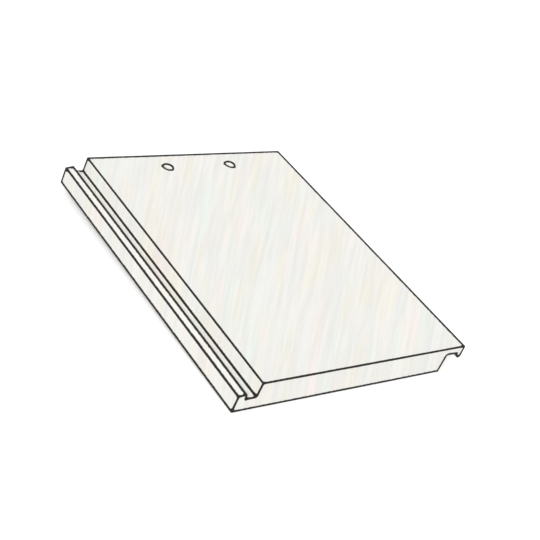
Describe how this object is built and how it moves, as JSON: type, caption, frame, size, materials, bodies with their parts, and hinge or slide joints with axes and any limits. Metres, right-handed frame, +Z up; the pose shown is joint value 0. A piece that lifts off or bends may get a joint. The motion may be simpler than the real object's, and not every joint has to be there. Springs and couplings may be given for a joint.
{
  "type": "flat interlocking concrete roof tile",
  "caption": "Flat concrete roof tile with a lipped groove down its left edge, a ribbed flange down its right edge, nail holes at the head and hanging nibs below.",
  "frame": {"origin": "middle of the box's base, on the floor that the tile lies on", "axes": "+Y up the tile from tail to head, +X from the underlock to the overlock, +Z up. The tile lies on its tail's bottom edge and its nibs, so its own plane leans 1.70 degrees, head up"},
  "size_m": [0.33, 0.4208, 0.0484],
  "materials": {
    "concrete": "matte"
  },
  "bodies": {
    "root": {"roof_tile": "concrete"}
  },
  "joints": []
}
